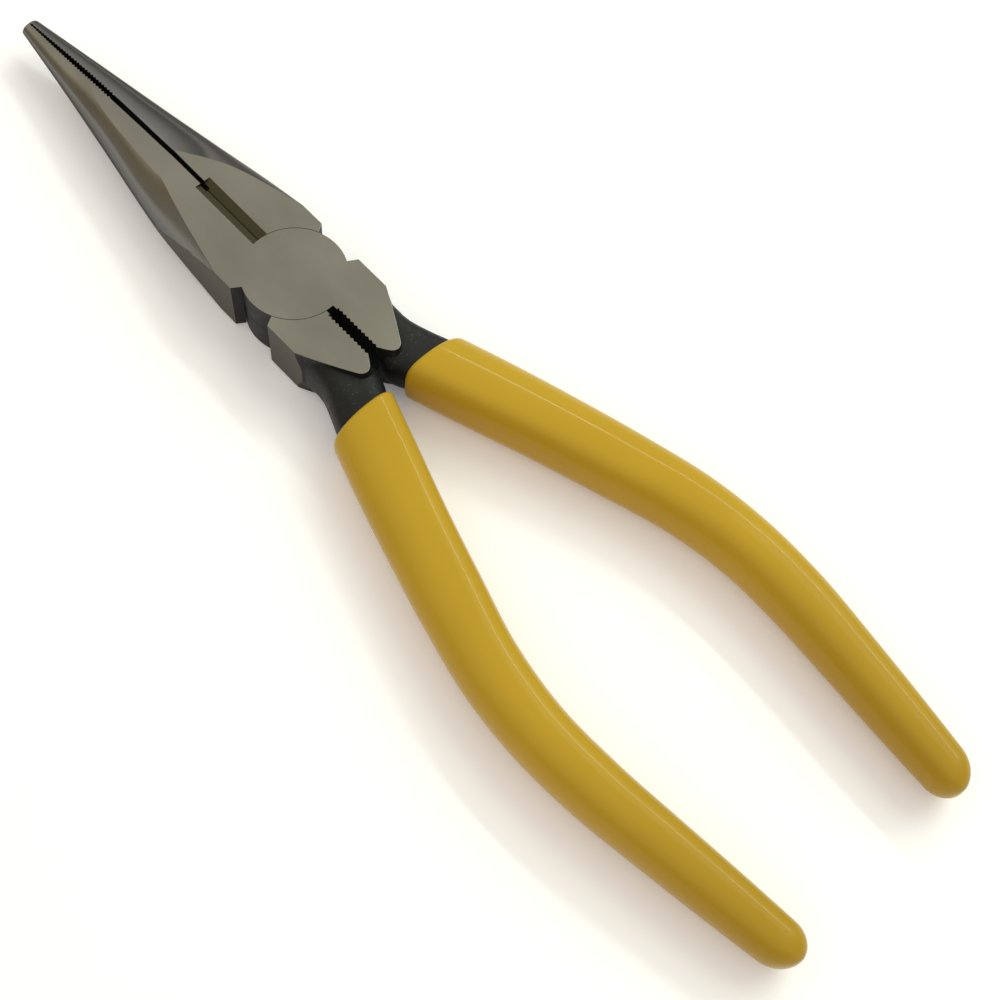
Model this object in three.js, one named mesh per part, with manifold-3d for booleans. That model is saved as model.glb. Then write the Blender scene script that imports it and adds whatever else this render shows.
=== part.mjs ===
// Needle nose pliers: two lap-jointed steel levers on a flush rivet, with dipped grips on the handles.
//
// Millimetres, +Z up. The origin is on the pivot axis, on the back face of the head. +Y runs to the
// jaw tips, +Z to the front face, and +X to the right seen from the front. The tool is drawn closed.
//
// The front lever has the left jaw, the front half-disc and the right handle. The rear lever is the
// same shape turned half a turn about the Y axis. Every solid is drawn about the head's mid-plane,
// and the whole group is lifted at the end.

import * as THREE from "three";
import { mergeVertices } from "three/addons/utils/BufferGeometryUtils.js";
import Module from "manifold-3d";

const wasm = await Module();
wasm.setup();

// Head
const headThickness = 11.2;
const faceZ = headThickness / 2;
const headHalfWidth = 9.85;
const discRadius = 9;
const rivetRadius = 3.2;

// Running gaps
const lapGap = 0.1;
const discGap = 0.12;
const rivetGap = 0.05;
const closedGap = 0.05;
const coreGap = 0.3;

// Shoulders that stop the jaws when the tool opens: outer corner, and a point inside the disc
const jawShoulder = { outerY: 4.65, innerX: 7.4, innerY: 3.05 };
const tangShoulder = { outerY: -4.85, innerX: 7.4, innerY: -3.5 };

// Jaws: a long cone, oval in section. reach is the distance from the pivot along the tool.
const tipReach = 75.3;
const tipDome = 0.3;
const tipDomeScale = 0.85;
const jawCone = [
  { reach: 2, halfWidth: 13.4, halfDepth: 10.6 },
  { reach: 22.5, halfWidth: 10.2, halfDepth: 7.15 },
  { reach: 31, halfWidth: 8.85, halfDepth: 5.7 },
  { reach: 45, halfWidth: 6.4, halfDepth: 4.75 },
  { reach: 60, halfWidth: 3.98, halfDepth: 3.3 },
  { reach: tipReach, halfWidth: 1.68, halfDepth: 1.55 },
];
const jawGap = 0.5;
const jawTeeth = { from: 50, halfGap: 0.38, pitch: 0.8, depth: 0.2 };

// Wire cutter: a shallow bevel from the front face and a deep one from the back
const cutter = { from: 8.9, to: 24.3, bladeEnd: 22.5, edgeDepth: 1, frontHalfWidth: 1.55, backHalfWidth: 3.1 };

// Tang plates behind the pivot, with the toothed slot between them
const slot = { halfWidth: 0.75, end: -9.9 };
const tangTeeth = { tipX: 0.9, from: -10, to: -20, pitch: 0.92, depth: 0.3 };
const tangSideEnd = -11.8;
const tangBulge = { x: 7.65, y: -16.4 };
const tangCorner = { x: 4.5, y: -21.6 };
const tangEnd = { x: 3.1, y: -23.1 };
const tangHeel = { x: 1.8, y: -21.1 };

// Shank and steel core: side edges and half-thickness along the handle
const steelHandle = [
  { reach: 9.5, inner: 2.2, outer: 9.2, halfDepth: 4.3 },
  { reach: 14, inner: 1.5, outer: 9.6, halfDepth: 4.4 },
  { reach: 18, inner: 1.4, outer: 9.7, halfDepth: 4.2 },
  { reach: 22.5, inner: 0.7, outer: 11.35, halfDepth: 4.1 },
  { reach: 26, inner: 2.2, outer: 12.8, halfDepth: 4.1 },
  { reach: 36, inner: 6.9, outer: 15.7, halfDepth: 4 },
  { reach: 60, inner: 14.8, outer: 22.4, halfDepth: 3.8 },
  { reach: 84, inner: 19.9, outer: 26, halfDepth: 3.9 },
  { reach: 108, inner: 18.7, outer: 23.9, halfDepth: 3.7 },
  { reach: 127.5, inner: 17, outer: 21.2, halfDepth: 2.8 },
];

// Dipped grips: middle, half-width and half-thickness along the handle
const rightGripSpan = { mouth: 25.6, end: 133.5 };
const leftGripSpan = { mouth: 26.3, end: 134.2 };
const gripShape = [
  { reach: 25, middle: 7.48, halfWidth: 6.55, halfDepth: 5.75 },
  { reach: 36, middle: 11.15, halfWidth: 6.5, halfDepth: 5.8 },
  { reach: 48, middle: 15, halfWidth: 6.23, halfDepth: 5.75 },
  { reach: 60, middle: 18.5, halfWidth: 5.97, halfDepth: 5.7 },
  { reach: 72, middle: 21.6, halfWidth: 5.5, halfDepth: 5.75 },
  { reach: 84, middle: 23, halfWidth: 5.1, halfDepth: 5.8 },
  { reach: 96, middle: 22.67, halfWidth: 4.93, halfDepth: 5.75 },
  { reach: 108, middle: 21.4, halfWidth: 4.62, halfDepth: 5.5 },
  { reach: 120, middle: 20, halfWidth: 4.25, halfDepth: 5.1 },
  { reach: 135, middle: 18.23, halfWidth: 3.61, halfDepth: 4.36 },
];
const gripLip = 1;
const gripLipStart = 0.3;
const gripNose = 4.5;
const gripNoseInset = 3.8;
const gripNoseAngles = [75, 60, 40, 20];

// Fineness
const circleSides = 72;
const coneSides = 36;
const handleSides = 20;
const handleSteps = 16;
const jawSteps = 10;
const steelPower = 3;
const gripPower = 2.4;
const weldDistance = 1e-5;

const groundSteel = { color: 0x85806f, roughness: 0.32, metalness: 1 };
const rivetSteel = { color: 0x827d6c, roughness: 0.34, metalness: 1 };
const yellowVinyl = { color: 0xf2b81c, roughness: 0.25, metalness: 0 };

// Read one value between stations, on a smooth curve through all of them.
function along(stations, key, reach) {
  const last = stations.length - 1;
  let i = 0;
  while (i < last - 1 && reach > stations[i + 1].reach) {
    i += 1;
  }
  const [a, b] = [stations[i], stations[i + 1]];
  const [before, after] = [stations[Math.max(i - 1, 0)], stations[Math.min(i + 2, last)]];
  const span = b.reach - a.reach;
  const slopeA = (span * (b[key] - before[key])) / (b.reach - before.reach);
  const slopeB = (span * (after[key] - a[key])) / (after.reach - a.reach);
  const t = THREE.MathUtils.clamp((reach - a.reach) / span, 0, 1);
  const fromA = (2 * t ** 3 - 3 * t ** 2 + 1) * a[key] + (t ** 3 - 2 * t ** 2 + t) * slopeA;
  const fromB = (3 * t ** 2 - 2 * t ** 3) * b[key] + (t ** 3 - t ** 2) * slopeB;
  return fromA + fromB;
}

// One closed ring across the tool, oval when power is 2 and squarer above it.
function ring(y, middle, halfWidth, halfDepth, sides, power) {
  const points = [];
  for (let s = 0; s < sides; s += 1) {
    const angle = (2 * Math.PI * s) / sides;
    const across = Math.sign(Math.cos(angle)) * Math.abs(Math.cos(angle)) ** (2 / power);
    const up = Math.sign(Math.sin(angle)) * Math.abs(Math.sin(angle)) ** (2 / power);
    points.push([middle + halfWidth * across, y, halfDepth * up]);
  }
  return points;
}

// Skin a row of rings, ordered by rising y, and close both ends.
function loft(rings) {
  const sides = rings[0].length;
  const top = (rings.length - 1) * sides;
  const index = [];
  for (let first = 0; first < top; first += sides) {
    for (let s = 0; s < sides; s += 1) {
      const a = first + s;
      const b = first + ((s + 1) % sides);
      index.push(a, a + sides, b, b, a + sides, b + sides);
    }
  }
  for (let s = 1; s < sides - 1; s += 1) {
    index.push(0, s, s + 1, top, top + s + 1, top + s);
  }
  const geometry = new THREE.BufferGeometry();
  geometry.setAttribute("position", new THREE.Float32BufferAttribute(rings.flat(2), 3));
  geometry.setIndex(index);
  return geometry;
}

// Turn a closed three.js geometry into a solid for cutting and joining.
function solid(geometry) {
  const bare = geometry.clone();
  bare.deleteAttribute("normal");
  bare.deleteAttribute("uv");
  const merged = mergeVertices(bare, weldDistance);
  return new wasm.Manifold(
    new wasm.Mesh({
      numProp: 3,
      vertProperties: new Float32Array(merged.attributes.position.array),
      triVerts: new Uint32Array(merged.index.array),
    }),
  );
}

function geometryOf(manifold) {
  const mesh = manifold.getMesh();
  const geometry = new THREE.BufferGeometry();
  geometry.setAttribute("position", new THREE.BufferAttribute(mesh.vertProperties, mesh.numProp));
  geometry.setIndex(new THREE.BufferAttribute(mesh.triVerts, 1));
  return geometry;
}

// A plan outline, extruded from one height to another.
function plate(shape, fromZ, toZ) {
  const geometry = new THREE.ExtrudeGeometry(shape, {
    depth: toZ - fromZ,
    bevelEnabled: false,
    curveSegments: 6,
  });
  return solid(geometry.translate(0, 0, fromZ));
}

function disc(radius, fromZ, toZ, sides) {
  const geometry = new THREE.CylinderGeometry(radius, radius, toZ - fromZ, sides);
  return solid(geometry.rotateX(Math.PI / 2).translate(0, 0, (fromZ + toZ) / 2));
}

// Left jaw in plan: the gripping edge up to the tip, then round the outside to the shoulder.
function jawOutline() {
  const outline = new THREE.Shape();
  outline.moveTo(-closedGap, 0);
  outline.lineTo(-closedGap, cutter.bladeEnd);
  outline.lineTo(-jawGap, cutter.bladeEnd);
  const toothCount = Math.floor((tipReach - jawTeeth.from) / jawTeeth.pitch);
  for (let tooth = 0; tooth < toothCount; tooth += 1) {
    const root = jawTeeth.from + tooth * jawTeeth.pitch;
    const edge = THREE.MathUtils.mapLinear(root, jawTeeth.from, tipReach, jawTeeth.halfGap, closedGap);
    outline.lineTo(-edge, root);
    outline.lineTo(-edge - jawTeeth.depth, root + jawTeeth.pitch / 2);
  }
  outline.lineTo(-closedGap, tipReach - jawTeeth.pitch / 2);
  outline.lineTo(-closedGap, tipReach + 1);
  outline.lineTo(-headHalfWidth, tipReach + 1);
  outline.lineTo(-headHalfWidth, jawShoulder.outerY);
  outline.lineTo(-jawShoulder.innerX, jawShoulder.innerY);
  return outline;
}

function makeJaw() {
  const rings = [];
  const conePart = (reach, scale) => {
    const halfWidth = along(jawCone, "halfWidth", reach) * scale;
    const halfDepth = along(jawCone, "halfDepth", reach) * scale;
    rings.push(ring(reach, 0, halfWidth, halfDepth, coneSides, 2));
  };
  const start = jawCone[0].reach;
  for (let step = 0; step <= jawSteps; step += 1) {
    conePart(THREE.MathUtils.lerp(start, tipReach - tipDome, step / jawSteps), 1);
  }
  conePart(tipReach, tipDomeScale);
  return plate(jawOutline(), -faceZ, faceZ).intersect(solid(loft(rings)));
}

// Right tang in plan: down the toothed slot, round the heel, and up the slanted side.
function tangOutline() {
  const outline = new THREE.Shape();
  outline.moveTo(slot.halfWidth, -discRadius / 2);
  outline.lineTo(slot.halfWidth, slot.end);
  const toothCount = Math.floor((tangTeeth.from - tangTeeth.to) / tangTeeth.pitch);
  for (let tooth = 0; tooth <= toothCount; tooth += 1) {
    const root = tangTeeth.from - tooth * tangTeeth.pitch;
    outline.lineTo(tangTeeth.tipX + tangTeeth.depth, root);
    outline.lineTo(tangTeeth.tipX, root - tangTeeth.pitch / 2);
  }
  outline.lineTo(tangHeel.x, tangHeel.y);
  outline.quadraticCurveTo(tangEnd.x, tangEnd.y, tangCorner.x, tangCorner.y);
  outline.quadraticCurveTo(tangBulge.x, tangBulge.y, headHalfWidth, tangSideEnd);
  outline.lineTo(headHalfWidth, tangShoulder.outerY);
  outline.lineTo(tangShoulder.innerX, tangShoulder.innerY);
  return outline;
}

// The forged handle bar, drawn larger all round where it is used to hollow a grip.
function steelBar(gap) {
  const rings = [];
  const start = steelHandle[0].reach;
  const end = steelHandle.at(-1).reach;
  for (let step = handleSteps; step >= 0; step -= 1) {
    const reach = THREE.MathUtils.lerp(start, end, step / handleSteps);
    const inner = along(steelHandle, "inner", reach) - gap;
    const outer = along(steelHandle, "outer", reach) + gap;
    const halfDepth = along(steelHandle, "halfDepth", reach) + gap;
    const y = step === handleSteps ? -reach - gap : -reach;
    rings.push(ring(y, (inner + outer) / 2, (outer - inner) / 2, halfDepth, handleSides, steelPower));
  }
  return solid(loft(rings));
}

// The two bevels that meet in the cutting edge, for a lever whose front is up or down.
function cutterPocket(frontUp) {
  const up = frontUp ? 1 : -1;
  const edgeZ = up * (faceZ - cutter.edgeDepth);
  const bevels = [
    { halfWidth: cutter.frontHalfWidth, z: up * faceZ },
    { halfWidth: cutter.backHalfWidth, z: -up * faceZ },
  ];
  const length = cutter.to - cutter.from;
  const cuts = bevels.map((bevel) => {
    const section = new THREE.Shape();
    const rise = bevel.z - edgeZ;
    section.moveTo(0, edgeZ);
    section.lineTo(bevel.halfWidth, bevel.z);
    section.lineTo(bevel.halfWidth, bevel.z + rise);
    section.lineTo(-bevel.halfWidth, bevel.z + rise);
    section.lineTo(-bevel.halfWidth, bevel.z);
    const geometry = new THREE.ExtrudeGeometry(section, { depth: length, bevelEnabled: false });
    return solid(geometry.rotateX(Math.PI / 2).translate(0, cutter.to, 0));
  });
  return cuts[0].add(cuts[1]);
}

// One lever with its half-disc up. frontUp says whether the tool's front face is up too.
function makeLever(frontUp) {
  const recess = disc(discRadius + discGap, -faceZ - 1, lapGap / 2, circleSides);
  const halfDisc = disc(discRadius, lapGap / 2, faceZ, circleSides);
  const rivetHole = disc(rivetRadius + rivetGap, -faceZ - 1, faceZ + 1, circleSides);
  return makeJaw()
    .subtract(cutterPocket(frontUp))
    .add(plate(tangOutline(), -faceZ, faceZ))
    .add(steelBar(0))
    .subtract(recess)
    .add(halfDisc)
    .subtract(rivetHole);
}

// A grip on the right handle: a skin open at its mouth, with a rounded lip and nose.
function makeGrip(span) {
  const rings = [];
  const gripPart = (reach, inset) => {
    const middle = along(gripShape, "middle", reach);
    const halfWidth = along(gripShape, "halfWidth", reach) - inset;
    const halfDepth = along(gripShape, "halfDepth", reach) - inset;
    rings.push(ring(-reach, middle, halfWidth, halfDepth, handleSides, gripPower));
  };
  const noseCentre = span.end - gripNose;
  for (const angle of gripNoseAngles) {
    const turn = THREE.MathUtils.degToRad(angle);
    gripPart(noseCentre + gripNose * Math.sin(turn), gripNoseInset * (1 - Math.cos(turn)));
  }
  for (let step = handleSteps; step >= 0; step -= 1) {
    gripPart(THREE.MathUtils.lerp(span.mouth + gripLip, noseCentre, step / handleSteps), 0);
  }
  gripPart(span.mouth + gripLipStart, gripLipStart);
  gripPart(span.mouth, gripLip);
  return solid(loft(rings)).subtract(steelBar(coreGap));
}

function part(name, manifold, finish) {
  const mesh = new THREE.Mesh(geometryOf(manifold), new THREE.MeshStandardMaterial(finish));
  mesh.name = name;
  return mesh;
}

const frontLever = part("front_lever", makeLever(true), groundSteel);
const rightGrip = part("right_grip", makeGrip(rightGripSpan), yellowVinyl);

const rearLever = part("rear_lever", makeLever(false), groundSteel);
rearLever.rotation.y = Math.PI;
const leftGrip = part("left_grip", makeGrip(leftGripSpan), yellowVinyl);
leftGrip.rotation.y = Math.PI;
const rivet = part("pivot_rivet", disc(rivetRadius, -faceZ, faceZ, circleSides), rivetSteel);

const pliers = new THREE.Group();
pliers.add(frontLever, rightGrip, rearLever, leftGrip, rivet);
pliers.position.z = faceZ;

export default pliers;
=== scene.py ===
import math

import bmesh
import bpy
import numpy as np
from mathutils import Matrix, Vector


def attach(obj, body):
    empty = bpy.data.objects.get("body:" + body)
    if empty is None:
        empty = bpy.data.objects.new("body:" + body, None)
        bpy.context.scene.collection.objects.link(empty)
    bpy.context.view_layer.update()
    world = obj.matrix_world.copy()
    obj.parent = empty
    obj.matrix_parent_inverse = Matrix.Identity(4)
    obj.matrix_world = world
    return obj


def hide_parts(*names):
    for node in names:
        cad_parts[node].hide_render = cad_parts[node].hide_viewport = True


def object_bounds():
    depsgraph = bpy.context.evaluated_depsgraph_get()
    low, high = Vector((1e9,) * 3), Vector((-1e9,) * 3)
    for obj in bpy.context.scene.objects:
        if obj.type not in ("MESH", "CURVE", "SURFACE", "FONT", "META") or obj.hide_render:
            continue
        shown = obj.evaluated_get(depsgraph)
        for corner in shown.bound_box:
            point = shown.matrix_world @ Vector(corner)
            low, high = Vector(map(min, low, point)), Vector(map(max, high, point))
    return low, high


# Needle nose pliers: two lap-jointed steel levers on a flush rivet, with dipped grips on the handles.
#
# Shapes are drawn in millimetres about the head's mid-plane, as in the CAD source: +Y runs to the jaw
# tips, +Z to the front face and +X to the right seen from the front. The front lever has the left jaw
# and the right handle. The rear lever is drawn in the same place, with the right jaw's cone, and the left
# grip in the right grip's place; both are then turned about the Y axis.

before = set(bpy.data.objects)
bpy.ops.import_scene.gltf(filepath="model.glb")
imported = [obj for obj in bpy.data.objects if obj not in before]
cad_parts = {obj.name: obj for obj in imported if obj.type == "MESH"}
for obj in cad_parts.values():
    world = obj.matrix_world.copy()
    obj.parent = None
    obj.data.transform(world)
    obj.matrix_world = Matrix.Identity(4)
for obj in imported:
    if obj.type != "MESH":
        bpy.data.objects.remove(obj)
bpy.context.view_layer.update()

MM = 0.001
FACE_Z = 5.6
HALF_TURN = Matrix.Rotation(math.pi, 4, "Y")

# Head
HEAD_HALF_WIDTH = 9.85
FORGING_HALF_WIDTH = 11.5
DISC_RADIUS = 9.0
RIVET_HOLE_RADIUS = 3.25
RIVET_FIT = 0.003
LAP_GAP = 0.1
DISC_GAP = 0.1
JAW_SHOULDER = [(-FORGING_HALF_WIDTH, 5.73), (-7.4, 3.05)]
TANG_SHOULDER = [(FORGING_HALF_WIDTH, -5.76), (7.4, -3.5)]

# Jaws, ground from cones: reach along the tool, half-width, half-depth and power of the section, which
# is oval at 2. The left jaw has a flatter crest over its flanks; the right jaw is a single cone.
TIP_REACH = 74.8
TIP_ROUND = 0.15
LEFT_JAW_FLANKS = [
    (2, 13.5, 13.5, 1.55),
    (22.5, 10.36, 8.82, 1.55),
    (31, 9.0, 6.95, 1.64),
    (45, 6.48, 5.5, 1.8),
    (60, 3.98, 3.1, 2),
    (TIP_REACH, 1.78, 1.33, 2),
]
LEFT_JAW_CREST = [
    (1, 23, 10.6, 2),
    (22.5, 16, 7.15, 2),
    (31, 14, 5.7, 2),
    (45, 9.5, 4.75, 2),
    (60, 5.6, 3.35, 2),
    (TIP_REACH + 1, 3, 1.7, 2),
]
RIGHT_JAW_CONE = [
    (2, 13.5, 13.8, 1.6),
    (22.5, 10.36, 8.19, 1.6),
    (31, 9.0, 5.845, 1.6),
    (45, 6.45, 4.75, 1.82),
    (60, 3.98, 3.3, 2.08),
    (TIP_REACH, 1.78, 1.38, 2.1),
]
LEFT_JAW = [LEFT_JAW_FLANKS, LEFT_JAW_CREST]
RIGHT_JAW = [RIGHT_JAW_CONE]
JAW_GAP = 0.5
CUTTER_GAP = 0.4
CLOSED_GAP = 0.05
JAW_TEETH = {"start": 49.95, "pitch": 0.81, "depth": 0.34, "tip_depth": 0.14}
TEETH_TAPER = {"start": 54, "half_gap": 0.33, "curve": 1.5}

# Wire cutter
CUTTER = {"start": 8.9, "end": 24.3, "blade_end": 22.95, "edge_depth": 1, "front": 1.55, "back": 3.1}

# Tangs: the toothed slot, and the forged outline from the heel round to the slanted side
SLOT_HALF_WIDTH = 0.75
SLOT_END = -9.9
TANG_TEETH = {"tip_x": 0.9, "start": -10, "end": -20, "pitch": 0.92, "depth": 0.3}
TANG_HEEL = (1.8, -21.1)
TANG_END = (3.1, -23.1)
TANG_CORNER = (4.5, -21.6)
TANG_BULGE = (7.65, -16.4)
TANG_SIDE = (HEAD_HALF_WIDTH, -11.8)
TANG_SIDE_RUN = (FORGING_HALF_WIDTH, -9)
PLATE_EDGE_Z = 5.3
BELLY_Z = 1.5
TANG_BELLY = 1.2
SIDE_BELLY_SHARE = 0.45
HEEL_BELLY_SHARE = 0.3
HEEL_BELLY_POINTS = 3

# Shank and handle steel: reach, inner edge, outer edge, half-depth
STEEL_HANDLE = [
    (9.5, 2.2, 9.2, 5.1),
    (14, 1.5, 9.6, 5.1),
    (18, 1.4, 9.7, 4.9),
    (22.5, 0.7, 11.35, 4.4),
    (26, 2.2, 12.8, 4.1),
    (36, 6.9, 15.7, 4),
    (60, 14.8, 22.4, 3.8),
    (84, 19.9, 26, 3.9),
    (108, 18.7, 23.9, 3.7),
    (127.5, 17, 21.2, 2.8),
]
STEEL_POWER = 3

# Dipped grips: reach, middle, half-width, half-depth, and how far the crest leans inwards
RIGHT_SPAN = (25.6, 133.5)
LEFT_SPAN = (26.3, 134.1)
GRIP_SHAPE = [
    (25, 7.48, 6.55, 5.75, 1.5),
    (36, 11.15, 6.5, 5.8, 1.4),
    (48, 15, 6.23, 5.75, 1.2),
    (60, 18.5, 5.97, 5.7, 0.9),
    (72, 21.6, 5.5, 5.75, 0.5),
    (84, 23, 5.1, 5.8, 0.2),
    (96, 22.67, 4.93, 5.75, 0),
    (108, 21.4, 4.62, 5.5, 0),
    (120, 20, 4.25, 5.1, 0),
    (135, 18.23, 3.61, 4.36, 0),
]
GRIP_POWER = 2.4
GRIP_INSET = 0.03
GRIP_LIP = 1.0
GRIP_NOSE = 4.5
GRIP_NOSE_INSET = 3.8
NOSE_TURN = math.radians(80)
CORE_GAP = 0.06

# Fineness
CIRCLE_SIDES = 144
CONE_SIDES = 96
HANDLE_SIDES = 64
CONE_STEP = 2.0
HANDLE_STEP = 1.5
LIP_STEPS = 6
NOSE_STEPS = 9
CURVE_STEPS = 14
TANG_STEPS = 10
WELD = 0.004
FLAT_ANGLE = math.radians(0.2)
SHARP_ANGLE = math.radians(28)
CONE_MATCH = 0.97
NORMAL_STEP = 0.1
TIP_TURNS = (30, 60, 90)
EDGE_ROUND = 0.06
EDGE_STEPS = 2

# How far cutting shapes run on past what they cut, and what counts as facing up or as toothed
OVERRUN = 1
GRINDING_SPAN = (-40, 90)
FACING_UP = 0.9
SLOT_TOOTH_REACH = 1.4
JAW_TOOTH_REACH = 0.75

# Which finish a face of a lever has
GROUND, CONE, OXIDE, BLADE = 0, 1, 2, 3


# ---------------------------------------------------------------- materials

class Recipe:
    """A material's node tree, built by naming nodes and what goes into them."""

    def __init__(self, name):
        self.material = bpy.data.materials.new(name)
        self.material.use_nodes = True
        self.tree = self.material.node_tree
        self.shader = self.tree.nodes["Principled BSDF"]
        self.place = self.add("ShaderNodeTexCoord").outputs["Object"]

    def add(self, kind, inputs=None, **settings):
        node = self.tree.nodes.new(kind)
        for key, value in settings.items():
            setattr(node, key, value)
        for key, value in (inputs or {}).items():
            self.feed(node.inputs[key], value)
        return node

    def feed(self, socket, value):
        if isinstance(value, bpy.types.NodeSocket):
            self.tree.links.new(value, socket)
        else:
            socket.default_value = value

    def stretched(self, scale):
        """Object coordinates, scaled per axis."""
        return self.add("ShaderNodeMapping", {"Vector": self.place, "Scale": scale}).outputs["Vector"]

    def facing_up(self):
        """How far the surface faces the front or the back of the tool, from 0 to 1."""
        normal = self.add("ShaderNodeTexCoord").outputs["Normal"]
        z = self.add("ShaderNodeSeparateXYZ", {"Vector": normal}).outputs["Z"]
        return self.add("ShaderNodeMath", {0: z}, operation="ABSOLUTE").outputs["Value"]

    def noise(self, scale, detail=3.0, rough=0.5):
        """Soft noise, with scale its cells per metre along each axis."""
        inputs = {"Vector": self.stretched(scale), "Scale": 1.0, "Detail": detail, "Roughness": rough}
        return self.add("ShaderNodeTexNoise", inputs).outputs["Fac"]

    def remap(self, value, low, high, to_low=0.0, to_high=1.0):
        inputs = {"Value": value, "From Min": low, "From Max": high, "To Min": to_low, "To Max": to_high}
        return self.add("ShaderNodeMapRange", inputs).outputs["Result"]

    def mix(self, share, a, b):
        node = self.add("ShaderNodeMix", data_type="RGBA")
        self.feed(node.inputs["Factor"], share)
        self.feed(node.inputs[6], a)
        self.feed(node.inputs[7], b)
        return node.outputs[2]

    def bump(self, height, strength, distance, normal=None):
        inputs = {"Height": height, "Strength": strength, "Distance": distance}
        if normal:
            inputs["Normal"] = normal
        return self.add("ShaderNodeBump", inputs).outputs["Normal"]

    def surface(self, **values):
        for key, value in values.items():
            self.feed(self.shader.inputs[key.replace("_", " ")], value)
        return self.material


def colour(r, g, b):
    return (r, g, b, 1.0)


# Colours, in linear light
STEEL_LIGHT = colour(0.272, 0.26, 0.222)
STEEL_DARK = colour(0.22, 0.21, 0.178)
STEEL_GLINT = colour(0.4, 0.39, 0.35)
STEEL_SCRATCH = colour(0.12, 0.115, 0.1)
# Painted shade: the colour that steel faces fade to as they turn away from the front or back
STEEL_SIDE_PAINTED_SHADE = colour(0.22, 0.215, 0.198)
EDGE_TINT = colour(0.4, 0.38, 0.37)
# Painted shade on the flanks of the jaws' cones
CONE_SIDE_PAINTED_SHADE = colour(0.15, 0.147, 0.146)
GREY_LIGHT = colour(0.27, 0.268, 0.256)
GREY_DARK = colour(0.23, 0.228, 0.218)
# Painted shade: the right jaw's darker flanks, in place of its dark outer reflection
GREY_SIDE_PAINTED_SHADE = colour(0.118, 0.117, 0.116)
OXIDE_DARK = colour(0.006, 0.0063, 0.0061)
OXIDE_LIGHT = colour(0.012, 0.0126, 0.0128)
OXIDE_SPECK = colour(0.1, 0.1, 0.1)
BLADE_DARK = colour(0.066, 0.06, 0.038)
BLADE_LIGHT = colour(0.09, 0.081, 0.051)
# Painted light: the lighter colour of the steeper cutter bevel
BLADE_STEEP_PAINTED_LIGHT = colour(0.095, 0.083, 0.05)
VINYL_DARK = colour(0.478, 0.294, 0.0245)
VINYL_LIGHT = colour(0.515, 0.32, 0.0272)
# Painted shade for the grips' ends
VINYL_ENDS_PAINTED_SHADE = colour(0.285, 0.166, 0.019)
FLOOR_DARK = colour(0.93, 0.91, 0.97)
FLOOR_LIGHT = colour(0.95, 0.93, 0.99)

# Painted shade: the grips darken towards their ends; from and to where in metres, and by how much
VINYL_SHADE_FROM_TO = (-0.085, -0.13)
VINYL_SHADE_SHARE = 0.4
FLOOR_GLOW = 0.12


def ground_steel(name, side, painted_shade_from=0.75, painted_shade_to=0.3, shine=0.3, light=STEEL_LIGHT, dark=STEEL_DARK):
    """Bare steel, ground along the tool: fine lengthwise grain over soft, cloudy tone, with painted shade
    darkening the faces that turn away from the front and back.
    """
    recipe = Recipe(name)
    grain = recipe.noise((6500, 90, 6500), detail=4, rough=0.6)
    clouds = recipe.noise((110, 60, 110), detail=2)
    scratches = recipe.noise((1500, 14, 1500), detail=1)
    tone = recipe.mix(recipe.remap(clouds, 0.3, 0.7), dark, light)
    tone = recipe.mix(recipe.remap(grain, 0.35, 0.75, 0.0, 0.04), tone, STEEL_GLINT)
    scratch = recipe.remap(scratches, 0.7, 0.78)
    tone = recipe.mix(recipe.remap(scratch, 0, 1, 0, 0.12), tone, STEEL_SCRATCH)
    # Painted shade: the side colour takes over as the surface turns away from the front or back
    painted_shading = recipe.remap(recipe.facing_up(), painted_shade_from, painted_shade_to)
    tone = recipe.mix(painted_shading, tone, side)
    roughness = recipe.remap(grain, 0.3, 0.7, shine - 0.02, shine + 0.02)
    relief = recipe.bump(grain, 0.02, 0.00002)
    waviness = recipe.noise((160, 70, 160), detail=1)
    relief = recipe.bump(waviness, 0.2, 0.0002, relief)
    return recipe.surface(
        Base_Color=tone, Metallic=1.0, Roughness=roughness, Normal=relief, Specular_Tint=EDGE_TINT
    )


def black_oxide():
    """Forged steel under a black oxide skin, grainy, with tiny bare specks."""
    recipe = Recipe("black_oxide")
    clouds = recipe.noise((220, 220, 220), detail=3)
    pits = recipe.noise((1900, 1900, 1900), detail=3, rough=0.7)
    specks = recipe.noise((3600, 3600, 3600), detail=1)
    patches = recipe.noise((420, 420, 420), detail=1)
    tone = recipe.mix(recipe.remap(clouds, 0.35, 0.65), OXIDE_DARK, OXIDE_LIGHT)
    where = recipe.add(
        "ShaderNodeMath",
        {0: recipe.remap(specks, 0.66, 0.72), 1: recipe.remap(patches, 0.5, 0.6)},
        operation="MULTIPLY",
    ).outputs["Value"]
    tone = recipe.mix(recipe.remap(where, 0, 1, 0, 0.6), tone, OXIDE_SPECK)
    shine = recipe.remap(pits, 0.3, 0.7, 0.42, 0.6)
    relief = recipe.bump(pits, 0.35, 0.00005)
    return recipe.surface(Base_Color=tone, Roughness=shine, Normal=relief, IOR=1.3)


def blade_steel():
    """The cutter's bevels, milled across and left darker than the ground faces, with painted light on the
    steeper bevel.
    """
    recipe = Recipe("blade_steel")
    grain = recipe.noise((400, 4200, 400), detail=3)
    tone = recipe.mix(recipe.remap(grain, 0.3, 0.7), BLADE_DARK, BLADE_LIGHT)
    # Painted light: the steeper bevel is coloured lighter by how it faces
    painted_shading = recipe.remap(recipe.facing_up(), 0.94, 0.85)
    tone = recipe.mix(painted_shading, tone, BLADE_STEEP_PAINTED_LIGHT)
    shine = recipe.remap(grain, 0.3, 0.7, 0.58, 0.68)
    relief = recipe.bump(grain, 0.1, 0.00002)
    return recipe.surface(Base_Color=tone, Metallic=1.0, Roughness=shine, Normal=relief)


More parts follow.
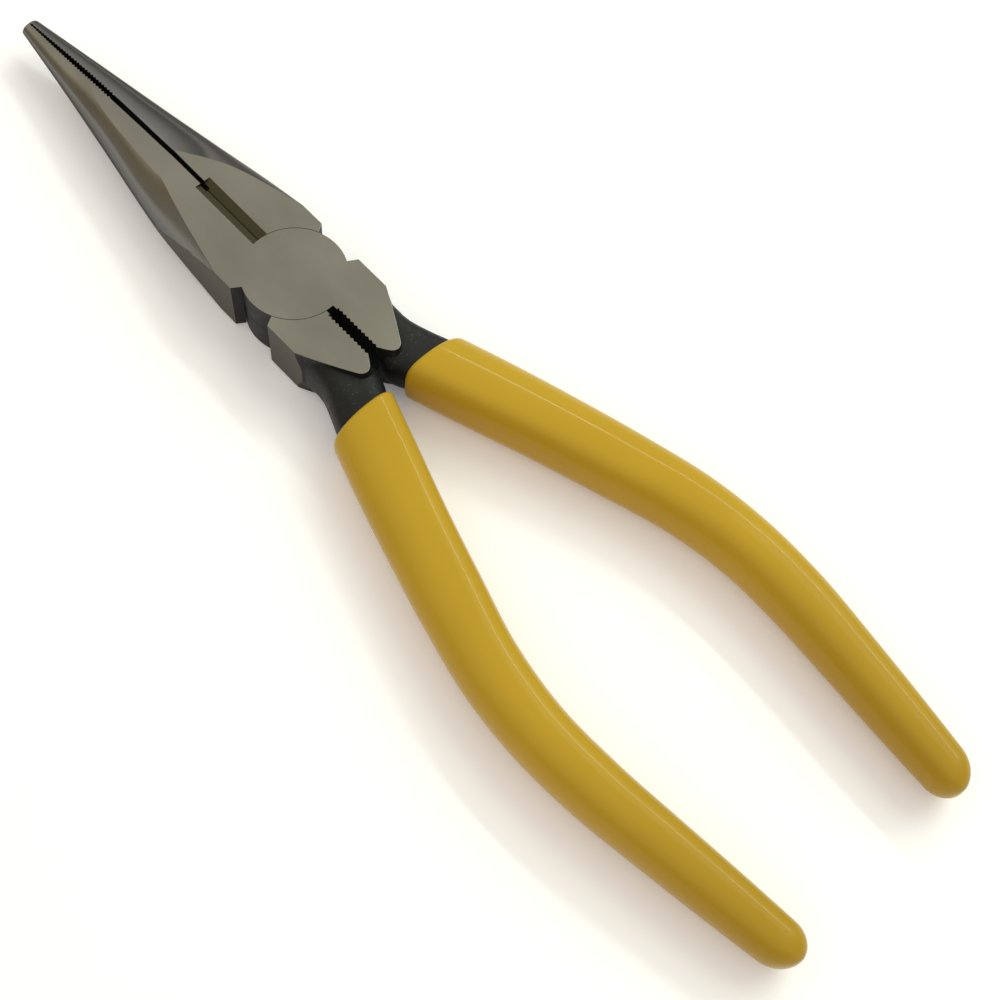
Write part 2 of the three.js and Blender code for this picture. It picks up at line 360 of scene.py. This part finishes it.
def yellow_vinyl():
    """Dipped vinyl: glossy, with a slow unevenness from the dip, light handling marks, and painted shade
    towards the ends.
    """
    recipe = Recipe("yellow_vinyl")
    clouds = recipe.noise((55, 30, 55), detail=2)
    tone = recipe.mix(recipe.remap(clouds, 0.3, 0.7), VINYL_DARK, VINYL_LIGHT)
    y = recipe.add("ShaderNodeSeparateXYZ", {"Vector": recipe.place}).outputs["Y"]
    # Painted shade: the colour darkens towards the grips' ends
    tone = recipe.mix(recipe.remap(y, *VINYL_SHADE_FROM_TO, 0.0, VINYL_SHADE_SHARE), tone, VINYL_ENDS_PAINTED_SHADE)
    handling = recipe.noise((300, 120, 300), detail=4, rough=0.6)
    shine = recipe.remap(handling, 0.35, 0.75, 0.1, 0.16)
    flow = recipe.noise((90, 35, 90), detail=1)
    peel = recipe.noise((1100, 1100, 1100), detail=2)
    relief = recipe.bump(flow, 0.25, 0.0003)
    relief = recipe.bump(peel, 0.02, 0.00003, relief)
    return recipe.surface(Base_Color=tone, Roughness=shine, Normal=relief, IOR=1.2)


def floor_paint():
    """A pale light table: its faint glow keeps the shadows soft."""
    recipe = Recipe("floor_paint")
    mottle = recipe.noise((3, 3, 3), detail=2)
    tone = recipe.mix(mottle, FLOOR_DARK, FLOOR_LIGHT)
    return recipe.surface(
        Base_Color=tone, Roughness=0.7, Emission_Color=colour(1, 1, 1), Emission_Strength=FLOOR_GLOW
    )


# Each steel paints shade on its sides, in the side colour it is given
GROUND_STEEL = ground_steel("ground_steel", STEEL_SIDE_PAINTED_SHADE)
CONE_STEEL = ground_steel("cone_steel", CONE_SIDE_PAINTED_SHADE, painted_shade_from=0.75, painted_shade_to=0.48, shine=0.2)
# Painted shade: a copy of the cone steel whose flanks darken early, for the right jaw's dark outer band
SHADED_CONE_STEEL = ground_steel(
    "shaded_cone_steel", GREY_SIDE_PAINTED_SHADE, painted_shade_from=0.95, painted_shade_to=0.78, shine=0.2, light=GREY_LIGHT, dark=GREY_DARK
)
LEVER_FINISHES = [GROUND_STEEL, CONE_STEEL, black_oxide(), blade_steel()]


# ---------------------------------------------------------------- shapes

def along(stations, reach):
    """Values between stations, on a smooth curve through all of them."""
    last = len(stations) - 1
    i = 0
    while i < last - 1 and reach > stations[i + 1][0]:
        i += 1
    a, b = np.array(stations[i], float), np.array(stations[i + 1], float)
    before, after = np.array(stations[max(i - 1, 0)], float), np.array(stations[min(i + 2, last)], float)
    span = b[0] - a[0]
    slope_a = span * (b - before) / (b[0] - before[0])
    slope_b = span * (after - a) / (after[0] - a[0])
    t = min(max((reach - a[0]) / span, 0), 1)
    from_a = (2 * t**3 - 3 * t**2 + 1) * a + (t**3 - 2 * t**2 + t) * slope_a
    from_b = (3 * t**2 - 2 * t**3) * b + (t**3 - t**2) * slope_b
    return (from_a + from_b)[1:]


def spread(start, end, step):
    """Evenly spaced values from start to end, about a step apart."""
    return np.linspace(start, end, max(2, round(abs(end - start) / step) + 1))


def ring(y, middle, half_width, half_depth, sides, power, lean=0.0):
    """A closed ring across the tool, oval when power is 2 and squarer above it."""
    angles = 2 * math.pi * np.arange(sides) / sides
    cos, sin = np.cos(angles), np.sin(angles)
    across = np.sign(cos) * np.abs(cos) ** (2 / power)
    up = np.sign(sin) * np.abs(sin) ** (2 / power)
    x = middle + half_width * across - lean * sin**2
    return np.column_stack([x, np.full(sides, y), half_depth * up])


def new_mesh(name, points, faces, finish=GROUND):
    """A mesh object whose faces all point outwards."""
    mesh = bpy.data.meshes.new(name)
    mesh.from_pydata([tuple(p) for p in points], [], faces)
    bm = bmesh.new()
    bm.from_mesh(mesh)
    bmesh.ops.recalc_face_normals(bm, faces=bm.faces)
    bm.to_mesh(mesh)
    bm.free()
    for material in LEVER_FINISHES:
        mesh.materials.append(material)
    mesh.polygons.foreach_set("material_index", np.full(len(mesh.polygons), finish, np.int32))
    obj = bpy.data.objects.new(name, mesh)
    bpy.context.scene.collection.objects.link(obj)
    return obj


def loft(name, rings, finish=GROUND):
    """Skin a row of rings and close both ends."""
    sides = len(rings[0])
    faces = [
        (r * sides + s, r * sides + (s + 1) % sides, (r + 1) * sides + (s + 1) % sides, (r + 1) * sides + s)
        for r in range(len(rings) - 1)
        for s in range(sides)
    ]
    top = (len(rings) - 1) * sides
    faces += [tuple(range(sides)), tuple(range(top, top + sides))]
    return new_mesh(name, np.concatenate(rings), faces, finish)


def plate(name, outline, low, high, finish=GROUND):
    """A plan outline, extruded from one height to another."""
    levels = [[(x, y, z) for x, y in outline] for z in (low, high)]
    return loft(name, [np.array(level) for level in levels], finish)


def disc(name, radius, low, high, finish=GROUND):
    angles = 2 * math.pi * np.arange(CIRCLE_SIDES) / CIRCLE_SIDES
    outline = np.column_stack([radius * np.cos(angles), radius * np.sin(angles)])
    return plate(name, outline, low, high, finish)


def curve_through(start, pull, end, steps):
    """Points on a curve from start to end, bent towards pull; the start is left out."""
    start, pull, end = np.array(start), np.array(pull), np.array(end)
    return [
        (1 - t) ** 2 * start + 2 * t * (1 - t) * pull + t**2 * end
        for t in np.linspace(0, 1, steps + 1)[1:]
    ]


def bake(obj):
    """Keep what the modifiers make."""
    depsgraph = bpy.context.evaluated_depsgraph_get()
    mesh = bpy.data.meshes.new_from_object(obj.evaluated_get(depsgraph))
    obj.modifiers.clear()
    obj.data = mesh


def combine(obj, tool, operation):
    """Join, cut or intersect with a tool shape, which is used up."""
    modifier = obj.modifiers.new("combine", "BOOLEAN")
    modifier.operation = operation
    modifier.solver = "EXACT"
    modifier.object = tool
    bake(obj)
    bpy.data.objects.remove(tool)


# ---------------------------------------------------------------- levers

def jaw_outline():
    """Left jaw in plan: the gripping edge up to the tip, then round the outside to the shoulder."""
    outline = [(-CLOSED_GAP, 0), (-CLOSED_GAP, CUTTER["blade_end"]), (-CUTTER_GAP, CUTTER["blade_end"])]
    start, pitch = JAW_TEETH["start"], JAW_TEETH["pitch"]
    outline.append((-JAW_GAP, start - pitch / 2))
    for tooth in range(int((TIP_REACH - start) / pitch)):
        root = start + tooth * pitch
        taper = max(root - TEETH_TAPER["start"], 0) / (TIP_REACH - TEETH_TAPER["start"])
        closing = (TEETH_TAPER["half_gap"] - CLOSED_GAP) * taper ** TEETH_TAPER["curve"]
        edge = TEETH_TAPER["half_gap"] - closing
        depth = JAW_TEETH["depth"] + (JAW_TEETH["tip_depth"] - JAW_TEETH["depth"]) * taper
        outline.append((-edge, root))
        outline.append((-edge - depth, root + pitch / 2))
    past_tip = TIP_REACH + OVERRUN
    past_side = -FORGING_HALF_WIDTH - 2 * OVERRUN
    outline += [(-CLOSED_GAP, TIP_REACH - pitch / 2), (-CLOSED_GAP, past_tip)]
    outline += [(past_side, past_tip), (past_side, JAW_SHOULDER[0][1])]
    return outline + JAW_SHOULDER


def make_cone(stations):
    """A jaw's cone, both halves of it, with its tip's rim rounded."""
    rings = []

    def add(reach, station, inset):
        half_width, half_depth, power = along(stations, station)
        rings.append(ring(reach, 0, half_width - inset, half_depth - inset, CONE_SIDES, power))

    start, end = stations[0][0], stations[-1][0]
    for reach in spread(start, end - TIP_ROUND, CONE_STEP):
        add(reach, reach, 0)
    for turn in np.radians(TIP_TURNS):
        add(end - TIP_ROUND * (1 - math.sin(turn)), end, TIP_ROUND * (1 - math.cos(turn)))
    return loft("cone", rings, CONE)


def tang_outline(swell):
    """Right tang in plan: down the toothed slot, round the heel, and up the slanted side.

    The forged side stands out by swell.
    """
    slot = [(SLOT_HALF_WIDTH, -DISC_RADIUS / 2), (SLOT_HALF_WIDTH, SLOT_END)]
    teeth = TANG_TEETH
    for tooth in range(int((teeth["start"] - teeth["end"]) / teeth["pitch"]) + 1):
        root = teeth["start"] - tooth * teeth["pitch"]
        slot.append((teeth["tip_x"] + teeth["depth"], root))
        slot.append((teeth["tip_x"], root - teeth["pitch"] / 2))
    side = [np.array(TANG_HEEL)]
    side += curve_through(TANG_HEEL, TANG_END, TANG_CORNER, CURVE_STEPS)
    side += curve_through(TANG_CORNER, TANG_BULGE, TANG_SIDE, CURVE_STEPS)
    side.append(np.array(TANG_SIDE_RUN))
    side = np.array(side)
    run = np.gradient(side, axis=0)
    outward = np.column_stack([run[:, 1], -run[:, 0]]) / np.linalg.norm(run, axis=1)[:, None]
    start_share = np.clip(np.arange(len(side)) / HEEL_BELLY_POINTS, HEEL_BELLY_SHARE, 1)
    side_share = np.interp(np.arange(len(side)), [CURVE_STEPS, 2 * CURVE_STEPS], [1, SIDE_BELLY_SHARE])
    side = side + outward * swell * (start_share * side_share)[:, None]
    return slot + [tuple(p) for p in side] + TANG_SHOULDER


def tang_swell(height):
    """How far the forging stands out past the plate's edge at a height above the mid-plane."""
    fall = min(max((PLATE_EDGE_Z - height) / (PLATE_EDGE_Z - BELLY_Z), 0), 1)
    return TANG_BELLY * fall**2 * (3 - 2 * fall)


def make_tang():
    upper = [FACE_Z + OVERRUN, *np.linspace(PLATE_EDGE_Z, BELLY_Z, TANG_STEPS)]
    heights = [-z for z in upper] + upper[::-1]
    rings = [np.array([(x, y, z) for x, y in tang_outline(tang_swell(abs(z)))]) for z in heights]
    return loft("tang", rings, OXIDE)


def steel_bar(gap):
    """The forged handle bar, drawn larger all round where it hollows a grip."""
    start, end = STEEL_HANDLE[0][0], STEEL_HANDLE[-1][0]
    rings = []
    for reach in spread(start, end, HANDLE_STEP):
        inner, outer, half_depth = along(STEEL_HANDLE, reach)
        y = -reach - gap if reach == end else -reach
        half_width = (outer - inner) / 2 + gap
        rings.append(ring(y, (inner + outer) / 2, half_width, half_depth + gap, HANDLE_SIDES, STEEL_POWER))
    return loft("bar", rings, OXIDE)


def cutter_wedge(half_width, face_z, edge_z):
    """One bevel of the wire cutter, run on past the face so that it cuts clean."""
    rise = face_z - edge_z
    section = [
        (0, edge_z),
        (half_width, face_z),
        (half_width, face_z + rise),
        (-half_width, face_z + rise),
        (-half_width, face_z),
    ]
    rings = [np.array([(x, y, z) for x, z in section]) for y in (CUTTER["start"], CUTTER["end"])]
    return loft("wedge", rings, BLADE)


def grinding_box():
    """What is left after the faces and sides of the head are ground flat."""
    w = HEAD_HALF_WIDTH
    low, high = GRINDING_SPAN
    return plate("grinding", [(-w, low), (w, low), (w, high), (-w, high)], -FACE_Z, FACE_Z)


def make_lever(name, front_up, cones):
    """A lever with its half-disc up. front_up says whether the tool's front face is up too."""
    up = 1 if front_up else -1
    edge_z = up * (FACE_Z - CUTTER["edge_depth"])
    far = FACE_Z + 2 * OVERRUN
    lever = make_cone(cones[0])
    lever.name = name
    for stations in cones[1:]:
        combine(lever, make_cone(stations), "INTERSECT")
    combine(lever, plate("jaw", jaw_outline(), -far, far, OXIDE), "INTERSECT")
    combine(lever, cutter_wedge(CUTTER["front"], up * FACE_Z, edge_z), "DIFFERENCE")
    combine(lever, cutter_wedge(CUTTER["back"], -up * FACE_Z, edge_z), "DIFFERENCE")
    combine(lever, make_tang(), "UNION")
    combine(lever, grinding_box(), "INTERSECT")
    combine(lever, steel_bar(0), "UNION")
    combine(lever, disc("recess", DISC_RADIUS + DISC_GAP, -far, LAP_GAP / 2, finish=OXIDE), "DIFFERENCE")
    combine(lever, half_disc(), "UNION")
    combine(lever, disc("hole", RIVET_HOLE_RADIUS, -far, far, finish=OXIDE), "DIFFERENCE")
    finish_edges(lever)
    return lever


def half_disc():
    """The lap disc: a ground face on forged sides."""
    obj = disc("half_disc", DISC_RADIUS, LAP_GAP / 2, FACE_Z, finish=OXIDE)
    for face in obj.data.polygons:
        if face.normal.z > FACING_UP:
            face.material_index = GROUND
    return obj


def is_toothed(point):
    """Whether a point lies among the teeth of the tangs' slot or of the jaws."""
    beside_slot = abs(point.x) < SLOT_TOOTH_REACH
    in_slot = beside_slot and TANG_TEETH["end"] - OVERRUN < point.y < SLOT_END + OVERRUN
    in_jaw = abs(point.x) < JAW_TOOTH_REACH and point.y > JAW_TEETH["start"] - OVERRUN
    return in_slot or in_jaw


def finish_edges(obj):
    """Weld, merge the flat faces, and round the outer edges; teeth, bore and disc rim stay crisp."""
    bm = bmesh.new()
    bm.from_mesh(obj.data)
    bmesh.ops.remove_doubles(bm, verts=bm.verts, dist=WELD)
    bmesh.ops.dissolve_limit(
        bm, angle_limit=FLAT_ANGLE, verts=bm.verts, edges=bm.edges, delimit={"MATERIAL"}
    )
    weight = bm.edges.layers.float.new("bevel_weight_edge")
    for edge in bm.edges:
        if not edge.is_manifold or not edge.is_convex or edge.calc_face_angle(0) < SHARP_ANGLE:
            continue
        middle = (edge.verts[0].co + edge.verts[1].co) / 2
        on_bore = middle.xy.length < RIVET_HOLE_RADIUS + DISC_GAP
        on_disc_rim = abs(middle.xy.length - DISC_RADIUS - DISC_GAP / 2) < DISC_GAP
        if is_toothed(middle) or on_bore or on_disc_rim:
            continue
        edge[weight] = 1.0
    bm.to_mesh(obj.data)
    bm.free()
    bevel = obj.modifiers.new("edges", "BEVEL")
    bevel.limit_method = "WEIGHT"
    bevel.width = EDGE_ROUND
    bevel.segments = EDGE_STEPS
    bevel.use_clamp_overlap = False
    bevel.miter_outer = "MITER_ARC"
    bake(obj)


def cone_level(stations, point):
    """How far out a point lies on a cone: 1 on its surface."""
    half_width, half_depth, power = along(stations, point.y)
    return abs(point.x / half_width) ** power + abs(point.z / half_depth) ** power


def cone_normal(stations, point):
    """The true cone's outward direction at a point on it."""
    steps = [Vector(axis) * NORMAL_STEP for axis in ((1, 0, 0), (0, 1, 0), (0, 0, 1))]
    rise = [cone_level(stations, point + step) - cone_level(stations, point - step) for step in steps]
    return Vector(rise).normalized()


def shade(obj, cones=()):
    """Smooth shading that keeps the flats flat and gives the jaw's cones their true normals."""
    obj.data.shade_smooth()
    obj.data.set_sharp_from_angle(angle=SHARP_ANGLE)
    weighted = obj.modifiers.new("normals", "WEIGHTED_NORMAL")
    weighted.keep_sharp = True
    bake(obj)
    mesh = obj.data
    normals = [corner.vector.copy() for corner in mesh.corner_normals]
    for face in mesh.polygons:
        if face.material_index != CONE or not cones:
            continue
        cone = max(cones, key=lambda stations: cone_normal(stations, face.center).dot(face.normal))
        for corner, vertex in zip(face.loop_indices, face.vertices):
            normal = cone_normal(cone, mesh.vertices[vertex].co)
            if normal.dot(face.normal) > CONE_MATCH:
                normals[corner] = normal
    mesh.normals_split_custom_set(normals)


# ---------------------------------------------------------------- grips and rivet

def make_grip(name, span):
    """A skin on the right handle, open at its mouth, with a round lip and nose."""
    mouth, end = span
    nose = end - GRIP_NOSE
    rings = []

    def add(reach, inset):
        middle, half_width, half_depth, lean = along(GRIP_SHAPE, reach)
        inset += GRIP_INSET
        rings.append(
            ring(-reach, middle, half_width - inset, half_depth - inset, HANDLE_SIDES, GRIP_POWER, lean)
        )

    for turn in np.linspace(math.pi / 2, 0, LIP_STEPS, endpoint=False):
        add(mouth + GRIP_LIP * (1 - math.sin(turn)), GRIP_LIP * (1 - math.cos(turn)))
    for reach in spread(mouth + GRIP_LIP, nose, HANDLE_STEP):
        add(reach, 0)
    for turn in np.linspace(0, NOSE_TURN, NOSE_STEPS)[1:]:
        add(nose + GRIP_NOSE * math.sin(turn), GRIP_NOSE_INSET * (1 - math.cos(turn)))
    grip = loft(name, rings)
    combine(grip, steel_bar(CORE_GAP), "DIFFERENCE")
    return grip


def make_rivet():
    """The rivet, its ends flush with both faces."""
    rivet = disc("rivet_head", RIVET_HOLE_RADIUS - RIVET_FIT, -FACE_Z, FACE_Z)
    rivet.data.set_sharp_from_angle(angle=SHARP_ANGLE)
    return rivet


# ---------------------------------------------------------------- assembly

def paint(obj, finish):
    """One finish all over."""
    obj.data.materials.clear()
    obj.data.materials.append(finish)
    return obj


def place(obj, body, node, turned=False, cones=()):
    """Take a piece from its own millimetres to the frame, and tie it to its CAD node."""
    shade(obj, cones)
    matrix = Matrix.Scale(MM, 4) @ Matrix.Translation((0, 0, FACE_Z))
    obj.data.transform(matrix @ HALF_TURN if turned else matrix)
    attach(obj, body)
    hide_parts(node)


def build_pliers():
    vinyl = yellow_vinyl()
    rivet = paint(make_rivet(), ground_steel("rivet_steel", STEEL_SIDE_PAINTED_SHADE))
    front_lever = make_lever("front_lever_steel", True, LEFT_JAW)
    rear_lever = make_lever("rear_lever_steel", False, RIGHT_JAW)
    # Painted shade: the right jaw's cone gets the shaded copy of the cone steel
    rear_lever.data.materials[CONE] = SHADED_CONE_STEEL
    place(front_lever, "front_half", "front_lever", cones=LEFT_JAW)
    place(rear_lever, "rear_half", "rear_lever", turned=True, cones=RIGHT_JAW)
    place(rivet, "rear_half", "pivot_rivet")
    right_grip = paint(make_grip("right_grip_vinyl", RIGHT_SPAN), vinyl)
    left_grip = paint(make_grip("left_grip_vinyl", LEFT_SPAN), vinyl)
    place(right_grip, "front_half", "right_grip")
    place(left_grip, "rear_half", "left_grip", turned=True)


# ---------------------------------------------------------------- studio

# Metres, in the frame
FLOOR_HALF_SIZE = 3.0
FLOOR_GAP = 0.0002

# The camera: where it stands, its own right and backwards directions, and its lens
CAMERA_PLACE = (-0.09224, -0.13144, 0.25479)
CAMERA_RIGHT = (0.73237, -0.67898, 0.05119)
CAMERA_BACK = (-0.32999, -0.28817, 0.89892)
LENS_MM = 62.24
SENSOR_MM = 36
NEAREST = 0.01

# Lights: the direction they come from, how far away they are, their size, power and tint
AIM = Vector((-0.00081, -0.05138, 0.0056))
LIGHTS = {
    "key": ((0.66, -0.15, 0.735), 1.8, (1.3, 1.3), 12.5, (0.84, 1.0, 0.78)),
    "strip": ((0.70, 0.10, 0.69), 1.0, (0.02, 0.9), 2.0, (0.97, 1.0, 0.92)),
}

# The dome's brightness from the horizon (0) to overhead (1), on the left and on the right
SKY_LEFT = [
    (0.0, colour(0.26, 0.245, 0.22)),
    (0.18, colour(0.26, 0.24, 0.205)),
    (0.3, colour(0.22, 0.182, 0.13)),
    (0.42, colour(0.22, 0.182, 0.13)),
    (0.55, colour(0.52, 0.49, 0.42)),
    (1.0, colour(0.54, 0.52, 0.46)),
]
SKY_RIGHT = [
    (0.0, colour(0.16, 0.16, 0.155)),
    (0.2, colour(0.2, 0.2, 0.19)),
    (0.55, colour(0.36, 0.355, 0.33)),
    (0.72, colour(0.52, 0.51, 0.48)),
    (0.88, colour(0.46, 0.44, 0.385)),
]
SKY_BLEND = (-0.25, 0.3)
SKY_STRENGTH = 1.7


def make_floor():
    """A plain pale floor just under the tool."""
    size = FLOOR_HALF_SIZE
    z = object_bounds()[0].z - FLOOR_GAP
    corners = [(-size, -size, z), (size, -size, z), (size, size, z), (-size, size, z)]
    mesh = bpy.data.meshes.new("floor")
    mesh.from_pydata(corners, [], [(0, 1, 2, 3)])
    mesh.materials.append(floor_paint())
    floor = bpy.data.objects.new("floor", mesh)
    bpy.context.scene.collection.objects.link(floor)


def sky_ramp(nodes, links, height, stops):
    """The dome's colour at a height, from 0 to 1."""
    ramp = nodes.new("ShaderNodeValToRGB")
    links.new(height, ramp.inputs["Fac"])
    for _ in stops[2:]:
        ramp.color_ramp.elements.new(0.5)
    for element, (position, value) in zip(ramp.color_ramp.elements, stops):
        element.position = position
        element.color = value
    return ramp.outputs["Color"]


def make_world():
    """A soft studio dome: light overhead, a dimmer warm band on the left, and falling off to the right."""
    world = bpy.data.worlds.new("studio")
    world.use_nodes = True
    nodes, links = world.node_tree.nodes, world.node_tree.links
    where = nodes.new("ShaderNodeTexCoord")
    split = nodes.new("ShaderNodeSeparateXYZ")
    links.new(where.outputs["Generated"], split.inputs["Vector"])
    across = nodes.new("ShaderNodeMapRange")
    across.inputs["From Min"].default_value, across.inputs["From Max"].default_value = SKY_BLEND
    links.new(split.outputs["X"], across.inputs["Value"])
    mix = nodes.new("ShaderNodeMix")
    mix.data_type = "RGBA"
    links.new(across.outputs["Result"], mix.inputs["Factor"])
    links.new(sky_ramp(nodes, links, split.outputs["Z"], SKY_LEFT), mix.inputs[6])
    links.new(sky_ramp(nodes, links, split.outputs["Z"], SKY_RIGHT), mix.inputs[7])
    links.new(mix.outputs[2], nodes["Background"].inputs["Color"])
    nodes["Background"].inputs["Strength"].default_value = SKY_STRENGTH
    bpy.context.scene.world = world


def area_light(name, direction, distance, size, power, tint):
    """A soft panel that faces the object; the second of its sizes lies along the tool."""
    light = bpy.data.lights.new(name, "AREA")
    light.shape = "RECTANGLE"
    light.size, light.size_y = size
    light.energy = power
    light.color = tint
    obj = bpy.data.objects.new(name, light)
    bpy.context.scene.collection.objects.link(obj)
    back = Vector(direction).normalized()
    side = Vector((0, 1, 0)).cross(back).normalized()
    up = back.cross(side)
    rotation = Matrix((side, up, back)).transposed().to_4x4()
    obj.matrix_world = Matrix.Translation(AIM + back * distance) @ rotation


def make_camera():
    camera = bpy.data.cameras.new("camera")
    camera.sensor_width = SENSOR_MM
    camera.lens = LENS_MM
    camera.clip_start = NEAREST
    obj = bpy.data.objects.new("camera", camera)
    right = Vector(CAMERA_RIGHT).normalized()
    back = Vector(CAMERA_BACK).normalized()
    up = back.cross(right).normalized()
    rotation = Matrix((up.cross(back), up, back)).transposed().to_4x4()
    obj.matrix_world = Matrix.Translation(CAMERA_PLACE) @ rotation
    bpy.context.scene.collection.objects.link(obj)
    bpy.context.scene.camera = obj


def build_studio():
    make_floor()
    make_world()
    for name, settings in LIGHTS.items():
        area_light(name, *settings)
    make_camera()
    bpy.context.scene.view_settings.view_transform = "Standard"


build_pliers()
build_studio()
